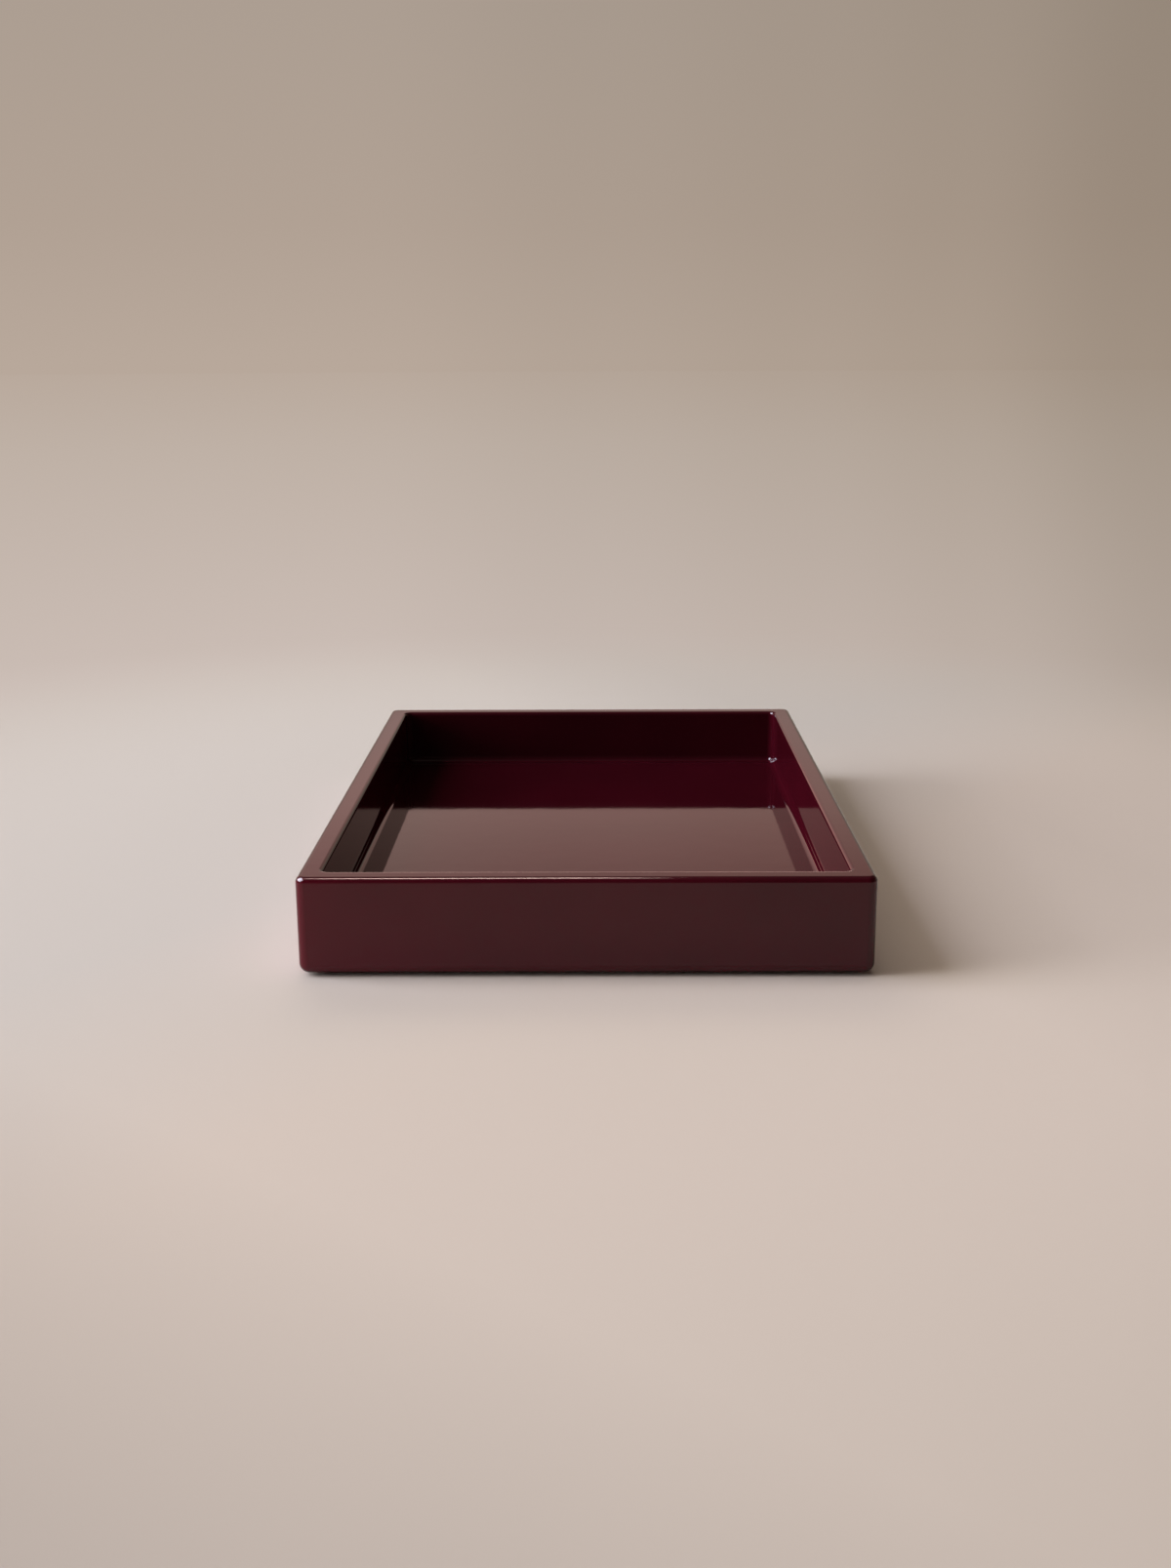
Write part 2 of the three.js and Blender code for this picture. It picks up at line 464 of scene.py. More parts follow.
@dataclass
class RailFrame:
    """The four rails, which are one coved section carried round the tray and mitred at its corners.

    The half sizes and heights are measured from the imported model. The radii and the joints' sizes
    are those that the rails are milled to.
    """

    half_width: float
    half_length: float
    underside: float
    rim: float
    floor: float
    wall: float = mm(10.5)
    cove_radius: float = mm(3.5)
    heel_land: float = mm(4)
    rim_outer_radius: float = mm(2.6)
    rim_inner_radius: float = mm(2)
    foot_radius: float = mm(4.5)
    outer_corner_radius: float = mm(4.4)
    inner_corner_radius: float = mm(3.5)
    tongue_thickness: float = mm(4)
    tongue_length: float = mm(6)
    clearance: float = mm(0.3)
    tenon_thickness: float = mm(3)
    tenon_width: float = mm(8)
    section_steps: int = 24
    corner_steps: int = 18
    mortise_steps: int = 8
    finish: PolishedLacquer = field(default_factory=PolishedLacquer)

    # How the tree works out a point of the rail: each line names a value, the operation and its terms
    RULE = (
        ("cosine", "COSINE", "angle"),
        ("sine", "SINE", "angle"),
        ("centre", "ADD", "inset", "turn"),
        ("to_centre", "SUBTRACT", "half_run", "centre"),
        ("along", "MULTIPLY_ADD", "turn", "cosine", "to_centre"),
        ("x", "MULTIPLY", "along", "end"),
        ("from_middle", "SUBTRACT", "centre", "reach"),
        ("outwards", "MULTIPLY", "turn", "sine"),
        ("y", "SUBTRACT", "from_middle", "outwards"),
        ("lean_along", "MULTIPLY", "rise", "cosine"),
        ("normal_x", "MULTIPLY", "lean_along", "end"),
        ("lean_out", "MULTIPLY", "rise", "sine"),
        ("normal_y", "MULTIPLY", "lean_out", -1.0),
        ("diagonal", "ADD", "sine", "cosine"),
        ("widening", "ADD", "spread", 1.0),
        ("widened", "MULTIPLY", "widening", "diagonal"),
        ("slope", "SUBTRACT", "widened", "spread"),
        ("normal_z", "MULTIPLY", "run", "slope"),
    )

    # How the tree works out the walk that the section follows, from the middle of the rail to its ends
    WALK_RULE = (
        ("rows", "MULTIPLY_ADD", "steps", 2.0, 2.0),
        ("last", "SUBTRACT", "rows", 1.0),
        ("middle", "MULTIPLY", "last", 0.5),
        ("offset", "SUBTRACT", "index", "middle"),
        ("end", "SIGN", "offset"),
        ("distance", "ABSOLUTE", "offset"),
        ("step", "SUBTRACT", "distance", 0.5),
        ("share", "DIVIDE", "step", "steps"),
        ("angle", "MULTIPLY_ADD", "share", -MITRE_ANGLE, RIGHT_ANGLE),
    )

    @property
    def heel_inset(self) -> float:
        """The distance in from the outer face to the joint with the floor panel."""
        return self.wall + self.cove_radius + self.heel_land

    def quarter_round(
        self, inset: float, height: float, radius: float, start: float, turn: Pair, hollow: bool = False
    ) -> list[SectionPoint]:
        """Gives a quarter round of the section, from a start angle in steps clockwise.

        Args:
            inset: The inset of the round's centre.
            height: The height of the round's centre.
            radius: The round's radius.
            start: The angle at which it starts.
            turn: The corner radius at no inset, and its change with the inset.
            hollow: True for the cove, which runs anticlockwise.

        Returns:
            The points of the round.
        """
        way = 1 if hollow else -1
        points = []
        for step in range(self.section_steps + 1):
            angle = start + way * RIGHT_ANGLE * step / self.section_steps
            x = inset + radius * math.cos(angle)
            points.append(
                SectionPoint(
                    inset=x, height=height + radius * math.sin(angle),
                    turn=max(turn[0] + turn[1] * x, 0.0), run=-way * math.sin(angle),
                    rise=way * math.cos(angle), spread=turn[1], polished=1.0,
                ),
            )
        return points

    def section(self) -> list[SectionPoint]:
        """Gives the closed section: foot, rim, cove, heel and the groove for the panel's tongue.

        Returns:
            Its points, clockwise from the foot.
        """
        outer_turn = (self.outer_corner_radius, -1.0)
        inner_turn = (self.inner_corner_radius + self.wall, -1.0)
        foot_turn = (self.outer_corner_radius, -self.outer_corner_radius / self.foot_radius)
        foot = self.foot_radius
        outer = self.rim_outer_radius
        inner = self.rim_inner_radius
        cove = self.cove_radius
        groove_inset = self.heel_inset - self.tongue_length - self.clearance
        groove_middle = (self.floor + self.underside) / 2
        groove_half = self.tongue_thickness / 2 + self.clearance
        return [
            *self.quarter_round(foot, self.underside + foot, foot, 3 * RIGHT_ANGLE, foot_turn),
            *self.quarter_round(outer, self.rim - outer, outer, 2 * RIGHT_ANGLE, outer_turn),
            *self.quarter_round(self.wall - inner, self.rim - inner, inner, RIGHT_ANGLE, inner_turn),
            *self.quarter_round(
                self.wall + cove,
                self.floor + cove,
                cove,
                2 * RIGHT_ANGLE,
                inner_turn,
                hollow=True,
            ),
            SectionPoint(self.heel_inset, self.floor),
            SectionPoint(self.heel_inset, groove_middle + groove_half),
            SectionPoint(groove_inset, groove_middle + groove_half),
            SectionPoint(groove_inset, groove_middle - groove_half),
            SectionPoint(self.heel_inset, groove_middle - groove_half),
            SectionPoint(self.heel_inset, self.underside),
        ]

    def section_mesh(self, name: str) -> Mesh:
        """Makes the section as a closed wire that carries its points' values as attributes.

        Args:
            name: The mesh's name.

        Returns:
            The wire, with the insets along X and the heights along Y.
        """
        points = self.section()
        count = len(points)
        mesh = bpy.data.meshes.new(name)
        edges = [(number, (number + 1) % count) for number in range(count)]
        mesh.from_pydata([(point.inset, point.height, 0.0) for point in points], edges, [])
        for value in SECTION_VALUES:
            attribute = mesh.attributes.new(value, "FLOAT", "POINT")
            attribute.data.foreach_set("value", [getattr(point, value) for point in points])
        return mesh

    def sweep_tree(self) -> Tree:
        """Builds the tree that carries the section along one side and round its two half corners.

        Returns:
            The tree, with named inputs for the side's sizes, its turn, the mortises and the finish.
        """
        tree, given = new_tree("mitred_rail", {
            "Section": "Geometry", "Half Run": "Float", "Reach": "Float", "Turn": "Float",
            "Corner Steps": "Int", "Mortises": "Object", "Finish": "Material",
        }, "Rail")
        walk = self.add_walk(tree, given["Corner Steps"])
        profile = add_node(tree, "GeometryNodeMeshToCurve", {"Mesh": given["Section"]})
        swept = add_node(tree, "GeometryNodeCurveToMesh", {
            "Curve": walk, "Profile Curve": profile, "Fill Caps": True,
        })
        values: dict[str, Any] = {"half_run": given["Half Run"], "reach": given["Reach"]}
        for name in (*SECTION_VALUES, "angle", "end"):
            values[name] = add_node(
                tree, "GeometryNodeInputNamedAttribute", {"Name": name}, data_type="FLOAT"
            )
        add_rule(tree, self.RULE, values)
        turned = []
        for x, y, z in (("x", "y", "height"), ("normal_x", "normal_y", "normal_z")):
            vector = add_node(tree, "ShaderNodeCombineXYZ", {0: values[x], 1: values[y], 2: values[z]})
            turned.append(add_node(tree, "ShaderNodeVectorRotate", {
                "Vector": vector, "Angle": given["Turn"],
            }, rotation_type="Z_AXIS"))
        smooth = add_node(tree, "FunctionNodeCompare", {
            0: values["polished"], 1: POLISHED_FACE,
        }, data_type="FLOAT", operation="GREATER_THAN")
        # The direction is stored before the points move, because both read the same attributes
        leaning = add_node(tree, "GeometryNodeStoreNamedAttribute", {
            "Geometry": swept, "Name": "direction", "Value": turned[1],
        }, data_type="FLOAT_VECTOR", domain="POINT")
        marked = add_node(tree, "GeometryNodeStoreNamedAttribute", {
            "Geometry": leaning, "Name": "smooth", "Value": smooth,
        }, data_type="BOOLEAN", domain="FACE")
        placed = add_node(tree, "GeometryNodeSetPosition", {"Geometry": marked, "Position": turned[0]})
        mortises = add_node(tree, "GeometryNodeObjectInfo", {"Object": given["Mortises"]})
        turned_mortises = add_node(tree, "ShaderNodeCombineXYZ", {"Z": given["Turn"]})
        cutter = add_node(tree, "GeometryNodeTransform", {
            "Geometry": mortises.outputs["Geometry"], "Rotation": turned_mortises,
        })
        cut = add_node(
            tree, "GeometryNodeMeshBoolean", {"Mesh 1": placed, "Mesh 2": cutter},
            operation="DIFFERENCE", solver="EXACT",
        )
        real = add_node(tree, "GeometryNodeRealizeInstances", {"Geometry": cut})
        finished = add_node(tree, "GeometryNodeSetMaterial", {
            "Geometry": real, "Material": given["Finish"],
        })
        add_node(tree, "NodeGroupOutput", {"Rail": finished})
        return tree

    def add_walk(self, tree: Tree, steps: Socket) -> Node:
        """Adds the curve that the section follows, from mitre to mitre.

        Args:
            tree: The rail's tree.
            steps: The facets in each half corner.

        Returns:
            The curve. Its points carry the corner's angle there and the sign of their end of the rail.
        """
        index = add_node(tree, "GeometryNodeInputIndex")
        values: dict[str, Any] = {"index": index, "steps": steps}
        add_rule(tree, self.WALK_RULE, values)
        walk = add_node(tree, "GeometryNodeMeshLine", {
            "Count": values["rows"], "Offset": (1.0, 0.0, 0.0),
        })
        for name in ("angle", "end"):
            walk = add_node(tree, "GeometryNodeStoreNamedAttribute", {
                "Geometry": walk, "Name": name, "Value": values[name],
            }, data_type="FLOAT", domain="POINT")
        return add_node(tree, "GeometryNodeMeshToCurve", {"Mesh": walk})

    def mortise_outline(self) -> list[Vector]:
        """Gives the outline of a mortise with round ends, seen from above, about its own middle.

        Returns:
            Its points, anticlockwise.
        """
        radius = self.tenon_thickness / 2 + self.clearance
        half_span = (self.tenon_width - self.tenon_thickness) / 2
        points = []
        for side in (1, -1):
            for step in range(self.mortise_steps + 1):
                angle = math.pi * step / self.mortise_steps - side * RIGHT_ANGLE
                x = side * half_span + radius * math.cos(angle)
                points.append(Vector((x, radius * math.sin(angle))))
        return points

    def mortise_cutter(self, half_run: float, reach: float) -> Piece:
        """Makes the two closed solids that cut the mortises at the ends of a front rail of this size.

        Args:
            half_run: Half the rail's length.
            reach: The distance from the tray's middle to the rail's outer face.

        Returns:
            The cutter, which is removed once the rail is cut.
        """
        low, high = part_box(Corner.FRONT_LEFT.tenon_node)
        setback = (low.x + high.x) / 2 + self.half_width
        outline = self.mortise_outline()
        count = len(outline)
        vertices: list[Vector] = []
        faces: list[list[int]] = []
        for end in (-1, 1):
            turn = Matrix.Rotation(end * MITRE_ANGLE, 3, "Z")
            middle = Vector((end * (half_run - setback), setback - reach, 0.0))
            first = len(vertices)
            for level in (low.z - self.clearance, high.z + self.clearance):
                vertices += [middle + turn @ Vector((point.x, point.y, level)) for point in outline]
            bottom = list(range(first, first + count))
            top = [number + count for number in bottom]
            faces += [bottom[::-1], top]
            for number in range(count):
                after = (number + 1) % count
                faces.append([bottom[number], bottom[after], top[after], top[number]])
        mesh = bpy.data.meshes.new("mortise_cutter")
        mesh.from_pydata(vertices, [], faces)
        return link_object("mortise_cutter", mesh)

    def build(self, side: Side, tree: Tree, finish: Material) -> Piece:
        """Builds the rail of one side.

        Args:
            side: The side that the rail stands on.
            tree: The tree that sweeps it.
            finish: Its material.

        Returns:
            The finished rail, a plain mesh in its place.
        """
        along_x = side in (Side.FRONT, Side.BACK)
        half_run = self.half_width if along_x else self.half_length
        reach = self.half_length if along_x else self.half_width
        cutter = self.mortise_cutter(half_run, reach)
        rail = link_object(f"lacquered_{side.node}", self.section_mesh(f"{side.node}_section"))
        given = {
            "Half Run": half_run, "Reach": reach, "Turn": side.angle, "Corner Steps": self.corner_steps,
            "Mortises": cutter, "Finish": finish,
        }
        grow(rail, tree, given)
        bpy.data.objects.remove(cutter)
        self.polish(rail.data)
        return rail

    def polish(self, mesh: Mesh) -> None:
        """Gives a rail the shading of its true roundings, so that the lacquer runs across a mitre.

        Args:
            mesh: The rail's mesh, which needs its attributes no longer and loses them.
        """
        directions = mesh.attributes["direction"].data
        smooth = mesh.attributes["smooth"].data
        normals = [Vector((0.0, 0.0, 1.0))] * len(mesh.loops)
        for face in mesh.polygons:
            face.use_smooth = True
            for loop in face.loop_indices:
                if smooth[face.index].value:
                    direction = directions[mesh.loops[loop].vertex_index].vector
                    normals[loop] = direction.normalized()
                else:
                    normals[loop] = face.normal
        mesh.normals_split_custom_set(normals)
        for name in ("direction", "smooth", "angle", "end", *SECTION_VALUES):
            mesh.attributes.remove(mesh.attributes[name])

    def make(self, finish: Material) -> None:
        """Builds the four rails and lets them stand for their CAD nodes.

        Args:
            finish: Their material.
        """
        tree = self.sweep_tree()
        for side in Side:
            seat(self.build(side, tree, finish), side.node)


@dataclass
class FloorPanel:
    """The floor panel, a board that butts against the rails' heels with a tongue all round."""

    node: str = "floor_panel"
    tongue_thickness: float = mm(4)
    tongue_length: float = mm(6)

    def make(self, finish: Material) -> None:
        """Builds the panel from its CAD box and lets it stand for the CAD node.

        Args:
            finish: Its material.
        """
        low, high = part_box(self.node)
        middle = (low.z + high.z) / 2
        half = self.tongue_thickness / 2
        levels = (
            (low.z, self.tongue_length),
            (middle - half, self.tongue_length),
            (middle - half, 0.0),
            (middle + half, 0.0),
            (middle + half, self.tongue_length),
            (high.z, self.tongue_length),
        )
        vertices = []
        for height, inset in levels:
            x, y = high.x - inset, high.y - inset
            vertices += [(-x, -y, height), (x, -y, height), (x, y, height), (-x, y, height)]
        faces = [[3, 2, 1, 0], [len(vertices) - 4 + number for number in range(4)]]
        for level in range(len(levels) - 1):
            first = 4 * level
            for number in range(4):
                after = (number + 1) % 4
                faces.append([first + number, first + after, first + 4 + after, first + 4 + number])
        mesh = bpy.data.meshes.new("lacquered_floor_panel")
        mesh.from_pydata(vertices, [], faces)
        mesh.materials.append(finish)
        seat(link_object("lacquered_floor_panel", mesh), self.node)


@dataclass
class FeltPads:
    """The four felt discs that the tray stands on, each with the loose fibres of its nap."""

    edge_radius: float = mm(0.3)
    fibre_length: float = mm(0.55)
    fibre_thickness: float = mm(0.035)
    fibre_tip: float = mm(0.004)
    fibres_per_square_mm: float = 9.0
    disc_steps: int = 64
    edge_steps: int = 5
    seed: int = 7

    def disc(self, name: str, low: Vector, high: Vector) -> Mesh:
        """Makes a disc with a worn lower edge.

        Args:
            name: The mesh's name.
            low: The lowest corner of the pad's CAD box.
            high: The highest corner of the pad's CAD box.

        Returns:
            The closed disc.
        """
        middle = (low + high) / 2
        radius = (high.x - low.x) / 2 - self.edge_radius
        profile = [(radius, low.z)]
        for step in range(1, self.edge_steps + 1):
            angle = RIGHT_ANGLE * step / self.edge_steps
            reach = radius + self.edge_radius * math.sin(angle)
            profile.append((reach, low.z + self.edge_radius * (1 - math.cos(angle))))
        profile.append((radius + self.edge_radius, high.z))
        vertices = []
        for reach, height in profile:
            for step in range(self.disc_steps):
                angle = math.tau * step / self.disc_steps
                x = middle.x + reach * math.cos(angle)
                vertices.append((x, middle.y + reach * math.sin(angle), height))
        count = self.disc_steps
        top = len(vertices) - count
        faces = [list(range(count))[::-1], list(range(top, top + count))]
        for row in range(len(profile) - 1):
            for step in range(count):
                near = row * count + step
                after = row * count + (step + 1) % count
                faces.append([near, after, after + count, near + count])
        mesh = bpy.data.meshes.new(name)
        mesh.from_pydata(vertices, [], faces)
        return mesh

    def nap_tree(self) -> Tree:
        """Builds the tree that lays short fibres over a disc.

        Returns:
            The tree, with named inputs for the fibres' sizes, their density, the seed and the finish.
        """
        tree, given = new_tree("felt_nap", {
            "Disc": "Geometry", "Fibre Length": "Float", "Fibre Thickness": "Float", "Density": "Float",
            "Seed": "Int", "Finish": "Material",
        }, "Pad")
        fibre = add_node(tree, "GeometryNodeMeshCone", {
            "Vertices": 3, "Radius Top": self.fibre_tip, "Radius Bottom": given["Fibre Thickness"],
            "Depth": given["Fibre Length"],
        }, fill_type="NGON")
        roots = add_node(tree, "GeometryNodeDistributePointsOnFaces", {
            "Mesh": given["Disc"], "Density": given["Density"], "Seed": given["Seed"],
        })
        tumble = add_node(tree, "FunctionNodeRandomValue", {
            0: (-RIGHT_ANGLE, -RIGHT_ANGLE, 0.0), 1: (RIGHT_ANGLE, RIGHT_ANGLE, math.tau),
            "Seed": given["Seed"],
        }, data_type="FLOAT_VECTOR")
        lying = add_node(tree, "FunctionNodeRotateRotation", {
            "Rotation": roots.outputs["Rotation"], "Rotate By": tumble,
        }, rotation_space="LOCAL")
        fibres = add_node(tree, "GeometryNodeInstanceOnPoints", {
            "Points": roots, "Instance": fibre, "Rotation": lying,
        })
        joined = add_node(tree, "GeometryNodeJoinGeometry", {"Geometry": given["Disc"]})
        tree.links.new(fibres.outputs["Instances"], joined.inputs["Geometry"])
        real = add_node(tree, "GeometryNodeRealizeInstances", {"Geometry": joined})
        place = add_node(tree, "GeometryNodeInputPosition")
        # No fibre goes below the table, and the limits along X and Y lie far outside the tray
        table = (-1.0, -1.0, 0.0)
        pressed = add_node(tree, "ShaderNodeVectorMath", {0: place, 1: table}, operation="MAXIMUM")
        flat = add_node(tree, "GeometryNodeSetPosition", {"Geometry": real, "Position": pressed})
        finished = add_node(tree, "GeometryNodeSetMaterial", {
            "Geometry": flat, "Material": given["Finish"],
        })
        add_node(tree, "NodeGroupOutput", {"Pad": finished})
        return tree

    def make(self, finish: Material) -> None:
        """Builds the four pads and lets them stand for their CAD nodes.

        Args:
            finish: Their material.
        """
        tree = self.nap_tree()
        for number, corner in enumerate(Corner):
            name = f"felt_{corner.pad_node}"
            pad = link_object(name, self.disc(name, *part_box(corner.pad_node)))
            given = {
                "Fibre Length": self.fibre_length, "Fibre Thickness": self.fibre_thickness,
                "Density": self.fibres_per_square_mm / mm(1) ** 2, "Seed": self.seed + number,
                "Finish": finish,
            }
            grow(pad, tree, given)
            seat(pad, corner.pad_node)


@dataclass
class MitreTenons:
    """The loose tenons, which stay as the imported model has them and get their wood."""

    def dress(self, finish: Material) -> None:
        """Gives the tenons their material.

        Args:
            finish: Their material.
        """
        for corner in Corner:
            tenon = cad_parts[corner.tenon_node]
            tenon.data.materials.clear()
            tenon.data.materials.append(finish)
            LOG.info("%s is finished in %s", tenon.name, finish.name)


class Use(Enum):
    """What a lamp is hung for: all its light, glints in the gloss alone, or a fill without glints."""

    KEY = (True, True)
    GLINT = (False, True)
    FILL = (True, False)


@dataclass(frozen=True)
class Lamp:
    """A softbox that faces the tray's middle.

    Attributes:
        name: The lamp's name.
        bearing: The direction from the tray to the lamp in degrees, from the right by way of the back.
        elevation: The lamp's height above the horizon in degrees.
        distance: The distance from the tray's middle.
        width: The level side.
        height: The other side.
        radiance: How bright its face is.
        colour: Its colour.
        use: What it is hung for.
        only_on: The pieces that it is flagged off all others for, or none for no flag.
    """

    name: str
    bearing: float
    elevation: float
    distance: float
    width: float
    height: float
    radiance: float
    colour: str = "ffffff"
    use: Use = Use.KEY
    only_on: tuple[str, ...] = ()

    def hang(self) -> None:
        """Hangs the softbox. Its power follows from its radiance and its area."""
        data = bpy.data.lights.new(self.name, "AREA")
        data.shape = "RECTANGLE"
        data.size = self.width
        data.size_y = self.height
        data.energy = self.radiance * math.pi * self.width * self.height
        data.color = linear(self.colour)[:3]
        lamp = bpy.data.objects.new(self.name, data)
        turn = Matrix.Rotation(math.radians(self.bearing) + RIGHT_ANGLE, 4, "Z")
        tilt = Matrix.Rotation(RIGHT_ANGLE - math.radians(self.elevation), 4, "X")
        lamp.matrix_world = turn @ tilt @ Matrix.Translation((0.0, 0.0, self.distance))
        lamp.visible_camera = False
        lamp.visible_diffuse, lamp.visible_glossy = self.use.value
        bpy.context.scene.collection.objects.link(lamp)
        if self.only_on:
            meant = bpy.data.collections.new(f"{self.name}_pieces")
            for name in self.only_on:
                meant.objects.link(bpy.data.objects[name])
            lamp.light_linking.receiver_collection = meant


@dataclass(frozen=True)
class Gradient:
    """A change over the studio floor that runs evenly along one direction, for its painted warm light
    and its painted shade.

    Attributes:
        run: The direction, as the weights of X, Y and Z.
        start: Where along it the change starts, in metres.
        end: Where it ends.
        first: The value before the start.
        last: The value after the end.
    """

    run: Triple
    start: float
    end: float
    first: float = 1.0
    last: float = 1.0

    def share(self, tree: Tree, place: Socket) -> Node:
        """Adds the gradient to a shader.

        Args:
            tree: The shader's tree.
            place: The place on the floor.

        Returns:
            The gradient's value there.
        """
        along = add_node(tree, "ShaderNodeVectorMath", {0: place, 1: self.run}, operation="DOT_PRODUCT")
        return add_node(tree, "ShaderNodeMapRange", {
            "Value": along, "From Min": self.start, "From Max": self.end,
            "To Min": self.first, "To Max": self.last,
        })


FLOOR = ("studio_floor",)
FRONT = ("lacquered_front_rail",)
RIGHT = ("lacquered_right_rail",)
LEFT_FRONT = (*FRONT, "lacquered_left_rail")


@dataclass
class Studio:
    """A pale floor that runs into a soft backdrop, the lamps on the left of it, and the camera."""

    floor_radius: float = 30.0
    floor_steps: int = 64
    near_radius: float = 0.3
    far_radius: float = 0.8
    floor_colour: str = "dad5d1"
    # Painted light on the near floor: a painted warm cast of the light towards the right and the front
    warm_floor_colour: str = "e3d7ce"
    tint: Gradient = Gradient((1.0, -0.8, 0.0), -0.1, 0.15, first=0.0)
    # Painted shade on the floor, for the lamps' fall-off towards the back right and the front left
    back_right_shade: Gradient = Gradient((1.0, 0.4, 0.0), 0.09, 0.28, last=0.87)
    front_left_shade: Gradient = Gradient((-1.0, -1.2, 0.0), 0.53, 0.78, last=0.8)
    falloff_middle: Triple = (0.0, -1.1, 0.0)
    second_image: float = 0.65
    camera_place: Triple = (0.005662, -0.847138, 0.260337)
    camera_dip: float = 14.501
    camera_yaw: float = 0.487
    camera_roll: float = -0.247
    lens: float = 37.946
    lamps: tuple[Lamp, ...] = (
        # The key, with a brighter middle that only the gloss shows, and a low fill beside it
        Lamp("key_softbox", 178.0, 39.0, 8.0, 3.9, 4.8, 7.4, "f4f6ff"),
        Lamp("key_bulb", 183.0, 43.0, 8.0, 6.0, 5.0, 22.0, "efe9ff", Use.GLINT),
        Lamp("low_softbox", 188.0, 16.0, 8.0, 4.0, 2.6, 10.6, use=Use.FILL),
        # Cards that even out the shadow on the floor
        Lamp("back_card", 137.0, 45.0, 3.0, 1.2, 1.4, 0.8, "fff3e2", Use.FILL, FLOOR),
        Lamp("rear_card", 103.0, 42.0, 3.0, 1.6, 1.2, 2.4, "fff3e2", Use.FILL, FLOOR),
        Lamp("front_card", 206.0, 34.0, 3.0, 0.8, 1.0, 2.1, "fff3e2", Use.FILL, FLOOR),
        Lamp("top_card", 0.0, 84.0, 3.0, 1.5, 1.5, 1.4, "fff3e2", Use.FILL, FLOOR),
        Lamp("foot_card", 270.0, 11.0, 3.0, 2.0, 0.5, 1.0, use=Use.FILL, only_on=FLOOR),
        # Two small cards close by, which warm the upright edge at the front left
        Lamp("corner_card", 224.0, 4.0, 0.45, 0.1, 0.1, 17.0, "ffe4e0", Use.FILL, LEFT_FRONT),
        Lamp("side_card", 190.0, 4.0, 0.45, 0.1, 0.1, 7.0, "ffe4e0", Use.FILL, LEFT_FRONT),
        # Lines and glints on the roundings, which only the gloss shows
        Lamp("corner_bulb", 183.0, 43.0, 8.0, 8.5, 7.0, 24.0, "f6f0ff", Use.GLINT, LEFT_FRONT),
        Lamp("rim_strip", 127.0, 82.0, 8.0, 2.1, 0.9, 58.0, "ffdfd2", Use.GLINT, FRONT),
        Lamp("edge_card", 90.0, 6.0, 8.0, 6.0, 1.6, 3.2, "ffd4c8", Use.GLINT, FRONT),
        Lamp("right_strip", 107.0, 8.0, 8.0, 1.4, 0.9, 1.0, "ffa598", Use.GLINT, RIGHT),
    )

    # The far floor's painted light, a glow in place of lit paper, by its distance as a share of itself
    # plus a metre
    FAR_FLOOR = ((0.3, "cbbfb5"), (0.41, "cabcb4"), (0.81, "bfb1a6"), (1.0, "b8a89b"))
    # The backdrop's colour, by the sine of the elevation
    BACKDROP = (
        (0.0, "b8a89b"),
        (0.073, "b1a194"),
        (0.19, "ac9e92"),
        (0.21, "e0beb5"),
        (0.26, "f4c8bd"),
        (0.30, "e8b9af"),
        (0.38, "a5857b"),
        (0.50, "70665f"),
        (1.0, "6c625c"),
    )
    # How the backdrop's light falls off and warms from left to right, by the direction's X. The far
    # floor's glow takes it as painted light
    FALLOFF = (
        (0.0, (1.0, 1.0, 1.0)),
        (0.43, (1.0, 1.0, 1.0)),
        (0.5, (0.935, 0.935, 0.93)),
        (0.56, (0.89, 0.885, 0.87)),
        (0.6, (0.85, 0.84, 0.815)),
        (0.65, (0.735, 0.72, 0.685)),
        (0.68, (0.69, 0.67, 0.63)),
        (1.0, (0.8, 0.785, 0.76)),
    )
    # Ranges of the direction's parts, with the values at their two ends. Higher up the fall-off is
    # steeper, and the backdrop goes dark towards the camera's side and stays lit overhead
    STEEPER = {"From Min": 0.2, "From Max": 0.3, "To Min": 1.0, "To Max": 2.4}
    BEHIND = {"From Min": -0.3, "From Max": 0.5, "To Min": 0.13, "To Max": 1.0}
    OVERHEAD = {"From Min": 0.75, "From Max": 1.0}

    def make(self) -> None:
        """Builds the floor, the backdrop, the lamps and the camera."""
        self.make_floor()
        self.make_world()
        for lamp in self.lamps:
            lamp.hang()
        self.make_camera()

    def falloff_ramp(self, tree: Tree, sideways: Node | Socket) -> Node:
        """Adds the backdrop's fall-off to the right.

        Args:
            tree: The shader's tree.
            sideways: The X part of a direction, from -1 to 1.

        Returns:
            The share of the light, as a colour.
        """
        share = add_node(tree, "ShaderNodeMapRange", {"Value": sideways, "From Min": -1.0})
        ramp = add_node(tree, "ShaderNodeValToRGB", {"Fac": share})
        set_ramp(ramp, self.FALLOFF, "EASE")
        return ramp

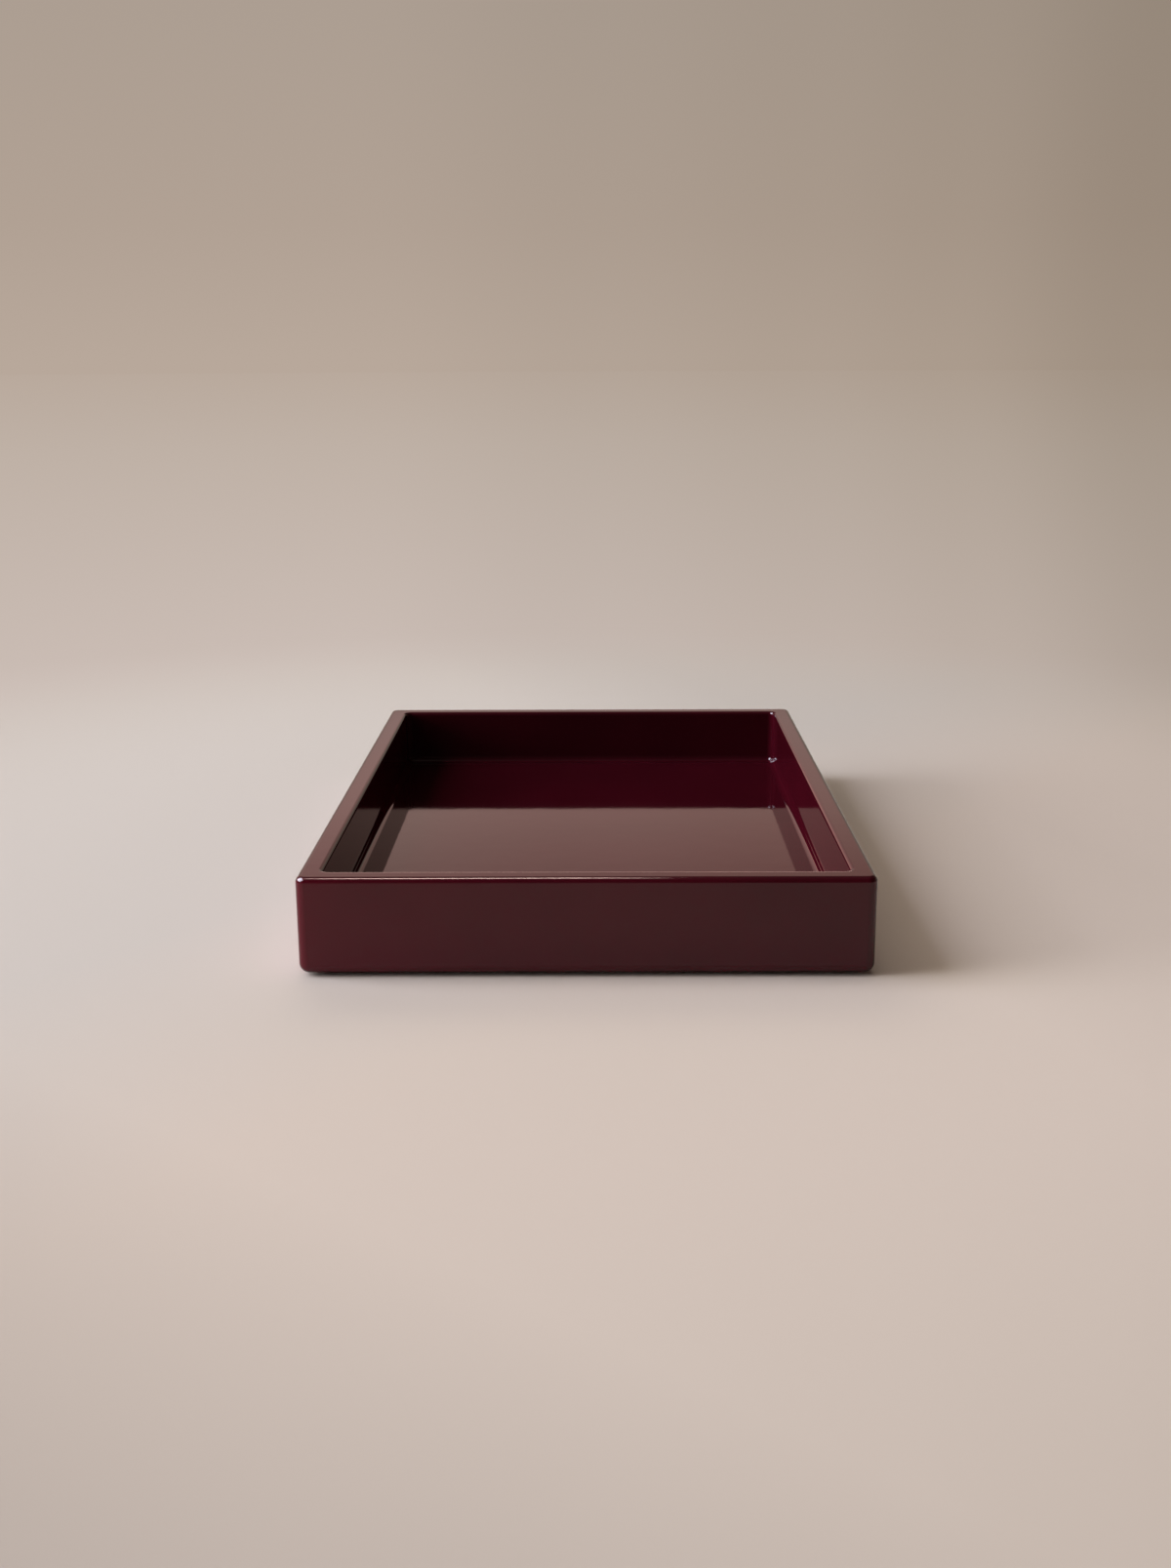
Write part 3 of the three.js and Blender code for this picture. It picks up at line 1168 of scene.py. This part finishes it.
    def make_floor(self) -> None:
        """Builds the floor: lit paper near the tray with painted warm light and painted shade, and
        further out a glow of painted light in the backdrop's colours.
        """
        material, tree, place = new_material("studio_floor")
        distance = add_node(tree, "ShaderNodeVectorMath", {0: place}, operation="LENGTH")
        from_front = add_node(
            tree, "ShaderNodeVectorMath", {0: place, 1: self.falloff_middle}, operation="SUBTRACT"
        )
        direction = add_node(tree, "ShaderNodeVectorMath", {0: from_front}, operation="NORMALIZE")
        sideways = add_node(tree, "ShaderNodeSeparateXYZ", {0: direction})
        values: dict[str, Any] = {"distance": distance}
        rule = (("beyond", "ADD", "distance", 1.0), ("depth", "DIVIDE", "distance", "beyond"))
        add_rule(tree, rule, values)
        far_ramp = add_node(tree, "ShaderNodeValToRGB", {"Fac": values["depth"]})
        set_ramp(far_ramp, self.FAR_FLOOR)
        far_glow_colour = add_node(tree, "ShaderNodeMix", {
            0: 1.0, 6: far_ramp, 7: self.falloff_ramp(tree, sideways),
        }, **MULTIPLY_COLOURS)
        # The near floor's colour warms towards the right and front with painted warm light
        near_ramp = add_node(tree, "ShaderNodeValToRGB", {"Fac": self.tint.share(tree, place)})
        set_ramp(near_ramp, ((0.0, self.floor_colour), (1.0, self.warm_floor_colour)))
        # Painted shade: the near floor's colour darkens towards the back right and the front left
        values["back_right"] = self.back_right_shade.share(tree, place)
        values["front_left"] = self.front_left_shade.share(tree, place)
        add_rule(tree, (("shade", "MULTIPLY", "back_right", "front_left"),), values)
        shaded_colour = add_node(tree, "ShaderNodeMix", {
            0: 1.0, 6: near_ramp, 7: values["shade"],
        }, **MULTIPLY_COLOURS)
        near = add_node(tree, "ShaderNodeBsdfDiffuse", {"Color": shaded_colour})
        # The far floor glows with painted light, which fades with painted shade towards the front left
        far = add_node(tree, "ShaderNodeEmission", {
            "Color": far_glow_colour, "Strength": values["front_left"],
        })
        farness = add_node(tree, "ShaderNodeMapRange", {
            "Value": distance, "From Min": self.near_radius, "From Max": self.far_radius,
        }, interpolation_type="SMOOTHSTEP")
        top = add_node(tree, "ShaderNodeMixShader", {0: farness, 1: near, 2: far})
        clear = add_node(tree, "ShaderNodeBsdfTransparent")
        backfacing = add_node(tree, "ShaderNodeNewGeometry").outputs["Backfacing"]
        surface = add_node(tree, "ShaderNodeMixShader", {0: backfacing, 1: top, 2: clear})
        add_node(tree, "ShaderNodeOutputMaterial", {"Surface": surface})
        rim = []
        for step in range(self.floor_steps):
            angle = math.tau * step / self.floor_steps
            rim.append((self.floor_radius * math.cos(angle), self.floor_radius * math.sin(angle), 0))
        mesh = bpy.data.meshes.new("studio_floor")
        mesh.from_pydata(rim, [], [list(range(self.floor_steps))])
        mesh.materials.append(material)
        link_object("studio_floor", mesh)

    def make_world(self) -> None:
        """Builds the backdrop: pale behind the tray, and dark above and on the camera's side."""
        world = bpy.data.worlds.new("studio")
        bpy.context.scene.world = world
        world.use_nodes = True
        tree = world.node_tree
        tree.nodes.clear()
        direction = add_node(tree, "ShaderNodeTexCoord").outputs["Generated"]
        parts = add_node(tree, "ShaderNodeSeparateXYZ", {0: direction}).outputs
        height = add_node(tree, "ShaderNodeValToRGB", {"Fac": parts["Z"]})
        set_ramp(height, self.BACKDROP)
        steepness = add_node(tree, "ShaderNodeMapRange", {"Value": parts["Z"], **self.STEEPER})
        falloff = add_node(tree, "ShaderNodeGamma", {
            "Color": self.falloff_ramp(tree, parts["X"]), "Gamma": steepness,
        })
        lit = add_node(tree, "ShaderNodeMix", {0: 1.0, 6: height, 7: falloff}, **MULTIPLY_COLOURS)
        softly = {"interpolation_type": "SMOOTHSTEP"}
        behind = add_node(tree, "ShaderNodeMapRange", {"Value": parts["Y"], **self.BEHIND}, **softly)
        above = add_node(tree, "ShaderNodeMapRange", {"Value": parts["Z"], **self.OVERHEAD}, **softly)
        path = add_node(tree, "ShaderNodeLightPath").outputs
        # The first mirror polarises the light, so a second one at right angles to it gives less back
        echo = add_node(tree, "ShaderNodeMapRange", {
            "Value": path["Glossy Depth"], "From Min": 1.0, "From Max": 2.0,
            "To Min": 1.0, "To Max": self.second_image,
        })
        values: dict[str, Any] = {
            "behind": behind, "above": above, "echo": echo, "seen": path["Is Camera Ray"],
        }
        rule = (
            ("lit", "MAXIMUM", "behind", "above"),
            ("mirrored", "MULTIPLY", "lit", "echo"),
            ("strength", "MAXIMUM", "mirrored", "seen"),
        )
        add_rule(tree, rule, values)
        background = add_node(tree, "ShaderNodeBackground", {
            "Color": lit, "Strength": values["strength"],
        })
        add_node(tree, "ShaderNodeOutputWorld", {"Surface": background})

    def make_camera(self) -> None:
        """Stands the camera at the photograph's viewpoint."""
        data = bpy.data.cameras.new("camera")
        data.lens = self.lens
        camera = bpy.data.objects.new("camera", data)
        turn = Matrix.Rotation(math.radians(self.camera_yaw), 4, "Z")
        dip = Matrix.Rotation(math.radians(90 - self.camera_dip), 4, "X")
        roll = Matrix.Rotation(math.radians(self.camera_roll), 4, "Z")
        camera.matrix_world = Matrix.Translation(self.camera_place) @ turn @ dip @ roll
        bpy.context.scene.collection.objects.link(camera)
        bpy.context.scene.camera = camera


def main() -> None:
    """Builds the tray and its studio, piece by piece."""
    logging.basicConfig(level=logging.INFO, format="%(name)s: %(message)s")
    bpy.context.scene.view_settings.view_transform = "Standard"
    low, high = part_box(Side.FRONT.node)
    rails = RailFrame(
        half_width=CAD_BOX[1].x, half_length=CAD_BOX[1].y, underside=low.z, rim=high.z,
        floor=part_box("floor_panel")[1].z,
    )
    lacquer = rails.finish.material()
    rails.make(lacquer)
    FloorPanel().make(lacquer)
    FeltPads().make(WoolFelt().material())
    MitreTenons().dress(PlanedBeech().material())
    Studio().make()


if __name__ == "__main__":
    main()
